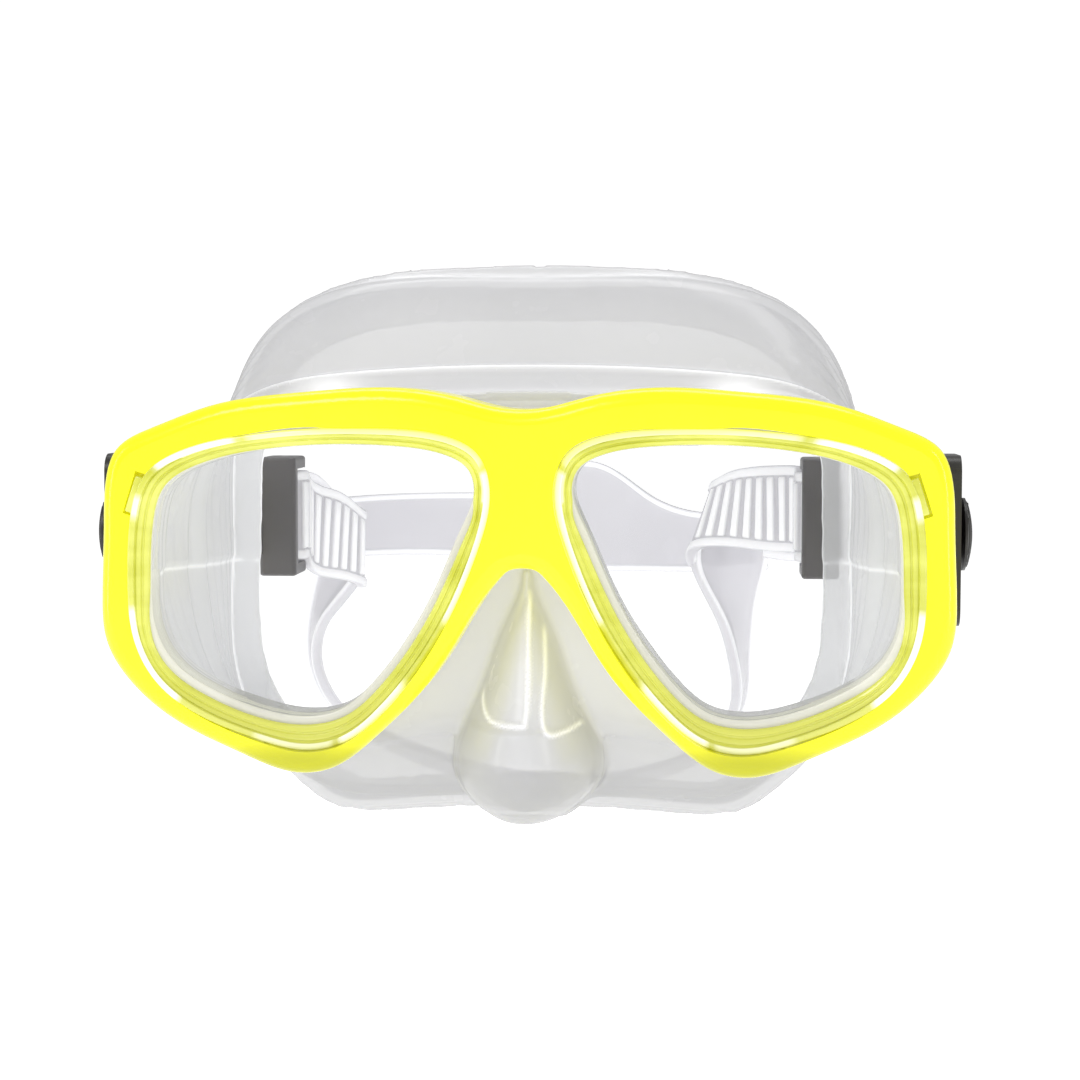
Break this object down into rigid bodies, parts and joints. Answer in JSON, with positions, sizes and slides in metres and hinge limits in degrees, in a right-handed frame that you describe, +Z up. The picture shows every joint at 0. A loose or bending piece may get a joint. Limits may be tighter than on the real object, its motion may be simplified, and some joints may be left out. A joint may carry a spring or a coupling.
{
  "type": "snorkel mask",
  "caption": "Two-window snorkel mask with a yellow frame, clear silicone skirt with nose pocket, swivel buckles with release levers and a split strap.",
  "frame": {"origin": "middle of the face opening, on the sealing edge of the skirt", "axes": "+X to the right of someone who faces the windows, +Y from the windows to the wearer's head, +Z up"},
  "size_m": [0.1742, 0.1644, 0.1214],
  "materials": {
    "frame_yellow": "glossy fluorescent yellow polycarbonate, slightly translucent at its thin edges",
    "ring_clear_yellow": "translucent pale yellow polycarbonate, glossy",
    "lens_glass": "clear tempered glass",
    "clear_silicone": "clear silicone, milky where it is thick, satin outside",
    "strap_silicone": "clear silicone, moulded ribs, satin",
    "grey_plastic": "fine-textured dark grey acetal",
    "black_plastic": "fine-textured black acetal, knurled thumb pad",
    "roller_plastic": "smooth grey acetal",
    "steel": "brushed stainless steel"
  },
  "bodies": {
    "mask": {"main_frame": "frame_yellow", "lens_ring_left": "ring_clear_yellow", "lens_ring_right": "ring_clear_yellow", "lens_left": "lens_glass", "lens_right": "lens_glass", "skirt": "clear_silicone", "side_plate_left": "black_plastic", "side_plate_right": "black_plastic", "swivel_post_left": "steel", "swivel_post_right": "steel"},
    "buckle_right": {"buckle_body_right": "grey_plastic", "lever_pin_right": "steel", "roller_axle_right": "steel", "lever_spring_right": "steel", "strap": "strap_silicone"},
    "buckle_left": {"buckle_body_left": "grey_plastic", "lever_pin_left": "steel", "roller_axle_left": "steel", "lever_spring_left": "steel"},
    "lever_right": {"release_lever_right": "black_plastic"},
    "lever_left": {"release_lever_left": "black_plastic"},
    "roller_right": {"strap_roller_right": "roller_plastic"},
    "roller_left": {"strap_roller_left": "roller_plastic"}
  },
  "joints": [
    {"name": "right_buckle_swivel", "type": "hinge", "parent": "mask", "child": "buckle_right", "pos_m": [0, -0.017, 0.008], "axis": [1, 0, 0], "range_deg": [-30, 30]},
    {"name": "left_buckle_swivel", "type": "hinge", "parent": "mask", "child": "buckle_left", "pos_m": [0, -0.017, 0.008], "axis": [1, 0, 0], "range_deg": [-30, 30]},
    {"name": "right_release", "type": "hinge", "parent": "buckle_right", "child": "lever_right", "pos_m": [0.08055, 0.00603, 0.008], "axis": [0, 0, 1], "range_deg": [-2, 0], "stiffness_Nm_per_rad": 0.6, "springref_deg": 2.86},
    {"name": "left_release", "type": "hinge", "parent": "buckle_left", "child": "lever_left", "pos_m": [-0.08055, 0.00603, 0.008], "axis": [0, 0, 1], "range_deg": [0, 2], "stiffness_Nm_per_rad": 0.6, "springref_deg": -2.86},
    {"name": "right_roller_spin", "type": "hinge", "parent": "buckle_right", "child": "roller_right", "pos_m": [0.06, 0.04, 0.008], "axis": [0, 0, 1], "continuous": true},
    {"name": "left_roller_spin", "type": "hinge", "parent": "buckle_left", "child": "roller_left", "pos_m": [-0.06, 0.04, 0.008], "axis": [0, 0, 1], "continuous": true}
  ],
  "couplings": [
    {"joint": "left_buckle_swivel", "follows": "right_buckle_swivel", "ratio": 1}
  ]
}
